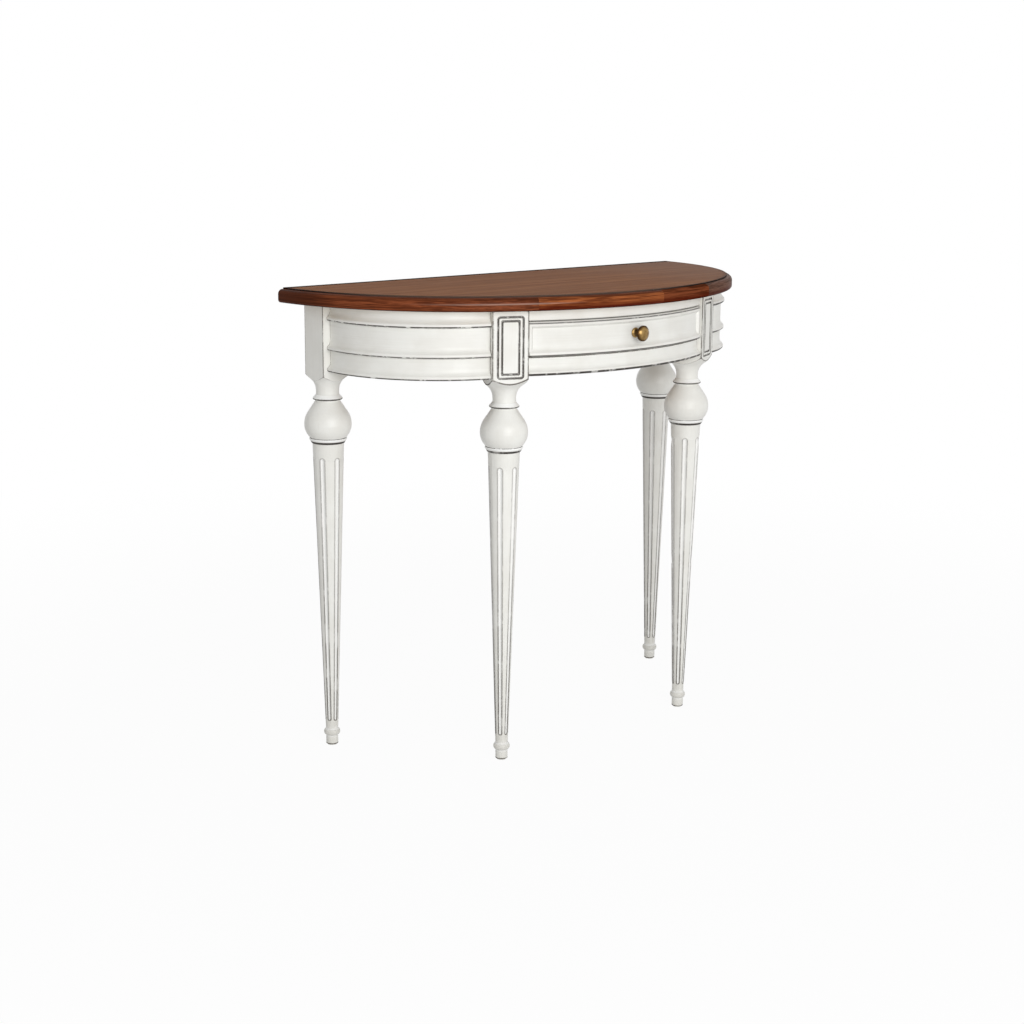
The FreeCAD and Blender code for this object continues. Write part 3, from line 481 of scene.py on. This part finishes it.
def steel(name):
    """Zinc-plated steel with dark slots."""
    t = Coat(name)
    cloud = t.noise(t.mm, SCREW_CLOUDS, 4)
    colour = t.mix(t.ease(cloud, 0.35, 0.65), STEEL_LIGHT, STEEL_DARK)
    colour = t.mix(t.ease(t.recess(2.0), 0.1, 0.6), colour, STEEL_CORNER)
    return t.finish(colour, t.ease(cloud, 0.3, 0.7, 0.28, 0.45), cloud, 0.02, metallic=1.0)


def nylon(name):
    """Moulded nylon with soiled edges."""
    t = Coat(name)
    cloud = t.noise(t.mm, GLIDE_CLOUDS, 3)
    colour = t.mix(t.ease(cloud, 0.35, 0.65), NYLON_LIGHT, NYLON_DARK)
    colour = t.mix(t.ease(t.arris(0.5), 0.03, 0.2, 0.0, 0.5), colour, NYLON_EDGE)
    return t.finish(colour, 0.45, cloud, 0.05)


def dress(names, material):
    """Puts one material on some CAD nodes."""
    for name in names:
        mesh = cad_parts[name].data
        mesh.materials.clear()
        mesh.materials.append(material)


def sides(stem):
    return [stem + "_left", stem + "_right"]


for place, outline in (("front", front_post_outline), ("back", None)):
    dress(sides("leg_" + place), paint(f"paint_{place}_leg", leg=True, lines=LEG_LINES, glaze=0.2,
                                       edge=(0.5, 1.0), outline=outline))
for side, sign, gaps, spread in (("left", -1, 0.8, 0.0), ("right", 1, 0.3, 1.3)):
    lines = [(low - spread, high + spread, strength) for low, high, strength in SIDE_LINES]
    dress(["side_apron_" + side], paint("paint_apron_" + side, lines=lines, gaps=gaps,
                                        bare=towards_side_centre(sign)))
dress(["front_top_rail"], paint("paint_top_rail", bare=towards_back, edge=(0.35, 0.35)))
dress(["front_bottom_rail"], paint("paint_bottom_rail", lines=RAIL_LINES, gaps=0.5, bare=towards_back))
dress(["drawer_front"], paint("paint_drawer", lines=DRAWER_LINES, bare=towards_back, edge=(0.4, 0.4)))
dress(["back_rail"], paint("paint_back", bare=towards_front, edge=(0.6, 0.6)))

dress(["top_panel"], top_wood("wood_top"))
for index, tones in enumerate(EDGE_TONES):
    dress([f"top_edge_{index + 1}"], edge_wood(f"wood_edge_{index + 1}", index * EDGE_SHIFT, *tones))
dress(["top_back_lipping"], edge_wood("wood_lipping", None, *LIPPING_TONES))

lengthwise = sides("drawer_side") + sides("drawer_runner") + sides("drawer_guide") + sides("drawer_kicker")
crosswise = sides("top_block_side") + sides("top_block_back")
crosswise += ["drawer_back", "drawer_bottom", "drawer_stops"]
crosswise += ["apron_dowels", "back_rail_dowels", "front_rail_dowels"]
dress(lengthwise, plain_wood("wood_lengthwise", (0, 1, 0)))
dress(crosswise, plain_wood("wood_crosswise", (1, 0, 0)))
dress(sides("corner_block"), plain_wood("wood_upright", (0, 0, 1)))
dress(["drawer_knob"], brass("brass_knob"))
dress(["knob_screw", "drawer_bottom_screws", "top_screws"], steel("steel_screw"))
dress(["foot_glides"], nylon("nylon_glide"))


def seen_white(t):
    """1 for rays that show the background: straight from the camera, in metal or through glass."""
    path = t.new("LightPath").outputs
    return t.most(path["Is Camera Ray"], path["Is Glossy Ray"], path["Is Transmission Ray"])


def make_world():
    world = bpy.data.worlds.new("studio")
    t = Tree(world)
    t.filled(t.nodes["Background"], (1, 1, 1), t.ease(seen_white(t), 0.0, 1.0, SKY_LEVEL, 1.0))
    bpy.context.scene.world = world


def make_floor():
    """White to the camera, with a little matt near the table that takes its shadow."""
    t = Tree(bpy.data.materials.new("floor_white"))
    t.nodes.remove(t.nodes["Principled BSDF"])
    matt = t.filled(t.new("BsdfDiffuse"), (FLOOR_ALBEDO, FLOOR_ALBEDO, FLOOR_ALBEDO))
    far = t.vector("LENGTH", t.new("TexCoord").outputs["Object"])
    share = t.times(seen_white(t), t.ease(far, *FLOOR_FADE, FLOOR_GLOW, 1.0))
    mix = t.filled(t.new("MixShader"), share, matt.outputs[0], t.new("Emission").outputs[0])
    t.feed(t.nodes["Material Output"].inputs["Surface"], mix.outputs[0])

    mesh = bpy.data.meshes.new("floor")
    corners = [(x * FLOOR_REACH, y * FLOOR_REACH, 0) for x, y in ((-1, -1), (1, -1), (1, 1), (-1, 1))]
    mesh.from_pydata(corners, [], [(0, 1, 2, 3)])
    mesh.materials.append(t.owner)
    floor = bpy.data.objects.new("floor", mesh)
    bpy.context.collection.objects.link(floor)


def make_light(name, azimuth, elevation, distance, size, power):
    """A square soft box. The azimuth is measured from the table's front towards +X."""
    light = bpy.data.lights.new(name, "AREA")
    light.size = size
    light.energy = power
    flat = math.radians(azimuth)
    rise = math.radians(elevation)
    way = Vector((math.sin(flat) * math.cos(rise), -math.cos(flat) * math.cos(rise), math.sin(rise)))
    box = bpy.data.objects.new(name, light)
    box.location = Vector(LIGHT_TARGET) + way * distance
    box.rotation_euler = (-way).to_track_quat("-Z", "Y").to_euler()
    bpy.context.collection.objects.link(box)


def make_camera():
    """The photograph's camera, found from the table's own edges and feet."""
    image, focal = 1024, 1815.86
    yaw, pitch, roll = math.radians(41.576), math.radians(12.579), 0.0088506
    place = Vector((-2.1201, -2.2562, 1.0683))
    ahead = Vector((math.sin(yaw) * math.cos(pitch), math.cos(yaw) * math.cos(pitch), -math.sin(pitch)))
    level = Vector((math.cos(yaw), -math.sin(yaw), 0))
    right = level * math.cos(roll) + level.cross(ahead) * math.sin(roll)
    up = right.cross(ahead)
    camera = bpy.data.cameras.new("camera")
    camera.sensor_width = 36.0
    camera.lens = camera.sensor_width * focal / image
    obj = bpy.data.objects.new("camera", camera)
    obj.matrix_world = Matrix(((right.x, up.x, -ahead.x, place.x), (right.y, up.y, -ahead.y, place.y),
                               (right.z, up.z, -ahead.z, place.z), (0, 0, 0, 1)))
    bpy.context.collection.objects.link(obj)
    bpy.context.scene.camera = obj


make_world()
make_floor()
make_light("key", azimuth=-22.0, elevation=14.0, distance=4.0, size=2.0, power=81.0)
make_camera()
bpy.context.scene.view_settings.view_transform = "Standard"
